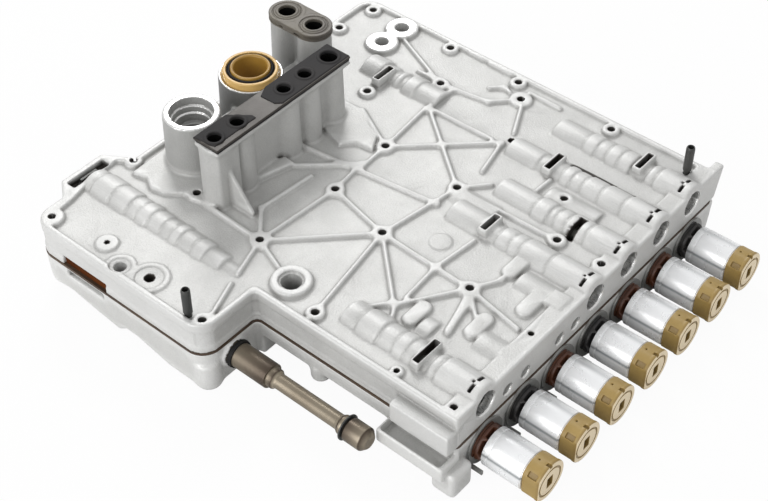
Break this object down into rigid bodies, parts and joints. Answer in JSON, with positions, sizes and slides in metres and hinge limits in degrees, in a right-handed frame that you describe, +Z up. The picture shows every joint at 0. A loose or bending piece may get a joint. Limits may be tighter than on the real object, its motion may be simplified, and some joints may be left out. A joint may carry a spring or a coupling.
{
  "type": "transmission valve body",
  "caption": "Cast aluminium hydraulic control block with ribbed top, pressure solenoids on one face, oil ports on towers and a sliding manual valve.",
  "frame": {"origin": "middle of the flat underside of the lower casting", "axes": "+X along the valve bores and out of the solenoid face, +Y along the row of solenoids, +Z up from the base to the port towers"},
  "size_m": [0.2985, 0.2654, 0.0855],
  "materials": {
    "cast_upper": "as cast",
    "cast_lower": "as cast",
    "plate_steel": "oiled, dark edge",
    "zinc_can": "bright zinc",
    "tan_plastic": "moulded",
    "brown_plastic": "moulded",
    "black_plastic": "moulded",
    "bronze_bar": "turned, hard coated",
    "dark_steel": "phosphated",
    "spool_aluminium": "turned, anodised",
    "spring_steel": "bright",
    "plug_aluminium": "turned",
    "seal_steel": "bare with moulded edge",
    "seal_rubber": "moulded",
    "gold_ring": "moulded",
    "brown_insert": "moulded"
  },
  "bodies": {
    "body": {"upper_casting": "cast_upper", "lower_casting": "cast_lower", "separator_plate": "plate_steel", "solenoid_noses_brown": "brown_plastic", "solenoid_noses_black": "black_plastic", "solenoid_clips": "dark_steel", "manual_valve_seal": "black_plastic", "end_plugs": "plug_aluminium", "small_plugs": "plug_aluminium", "retainer_plates": "dark_steel", "long_seal_rubber": "seal_rubber", "long_seal_plate": "seal_steel", "short_seal_rubber": "seal_rubber", "short_seal_plate": "seal_steel", "sleeve_ring": "gold_ring", "sleeve_seal": "seal_rubber", "sleeve_tube": "gold_ring", "roll_pins": "dark_steel", "casting_screws": "dark_steel", "window_insert": "brown_insert", "solenoid_can_1": "zinc_can", "solenoid_cap_1": "tan_plastic", "solenoid_can_2": "zinc_can", "solenoid_cap_2": "tan_plastic", "solenoid_can_3": "zinc_can", "solenoid_cap_3": "tan_plastic", "solenoid_can_4": "zinc_can", "solenoid_cap_4": "tan_plastic", "solenoid_can_5": "zinc_can", "solenoid_cap_5": "tan_plastic", "solenoid_can_6": "zinc_can", "solenoid_cap_6": "tan_plastic", "solenoid_can_7": "zinc_can", "solenoid_cap_7": "tan_plastic", "first_valve_spring": "spring_steel", "fourth_valve_spring": "spring_steel", "fifth_valve_spring": "spring_steel", "sixth_valve_spring": "spring_steel", "seventh_valve_spring": "spring_steel", "wing_valve_spring": "spring_steel"},
    "manual_valve": {"manual_valve": "bronze_bar", "manual_valve_snap_ring": "dark_steel"},
    "first_spool_valve": {"first_spool_valve": "spool_aluminium"},
    "fourth_spool_valve": {"fourth_spool_valve": "spool_aluminium"},
    "fifth_spool_valve": {"fifth_spool_valve": "spool_aluminium"},
    "sixth_spool_valve": {"sixth_spool_valve": "spool_aluminium"},
    "seventh_spool_valve": {"seventh_spool_valve": "spool_aluminium"},
    "wing_spool_valve": {"wing_spool_valve": "spool_aluminium"}
  },
  "joints": [
    {"name": "manual_valve_slide", "type": "slide", "parent": "body", "child": "manual_valve", "axis": [1, 0, 0], "range_m": [-0.024, 0]},
    {"name": "first_spool_slide", "type": "slide", "parent": "body", "child": "first_spool_valve", "axis": [-1, 0, 0], "range_m": [0, 0.003], "stiffness_N_per_m": 300, "deforming": ["first_valve_spring"]},
    {"name": "fourth_spool_slide", "type": "slide", "parent": "body", "child": "fourth_spool_valve", "axis": [-1, 0, 0], "range_m": [0, 0.003], "stiffness_N_per_m": 300, "deforming": ["fourth_valve_spring"]},
    {"name": "fifth_spool_slide", "type": "slide", "parent": "body", "child": "fifth_spool_valve", "axis": [-1, 0, 0], "range_m": [0, 0.003], "stiffness_N_per_m": 300, "deforming": ["fifth_valve_spring"]},
    {"name": "sixth_spool_slide", "type": "slide", "parent": "body", "child": "sixth_spool_valve", "axis": [-1, 0, 0], "range_m": [0, 0.003], "stiffness_N_per_m": 300, "deforming": ["sixth_valve_spring"]},
    {"name": "seventh_spool_slide", "type": "slide", "parent": "body", "child": "seventh_spool_valve", "axis": [-1, 0, 0], "range_m": [0, 0.003], "stiffness_N_per_m": 300, "deforming": ["seventh_valve_spring"]},
    {"name": "wing_spool_slide", "type": "slide", "parent": "body", "child": "wing_spool_valve", "axis": [1, 0, 0], "range_m": [0, 0.003], "stiffness_N_per_m": 300, "deforming": ["wing_valve_spring"]}
  ]
}
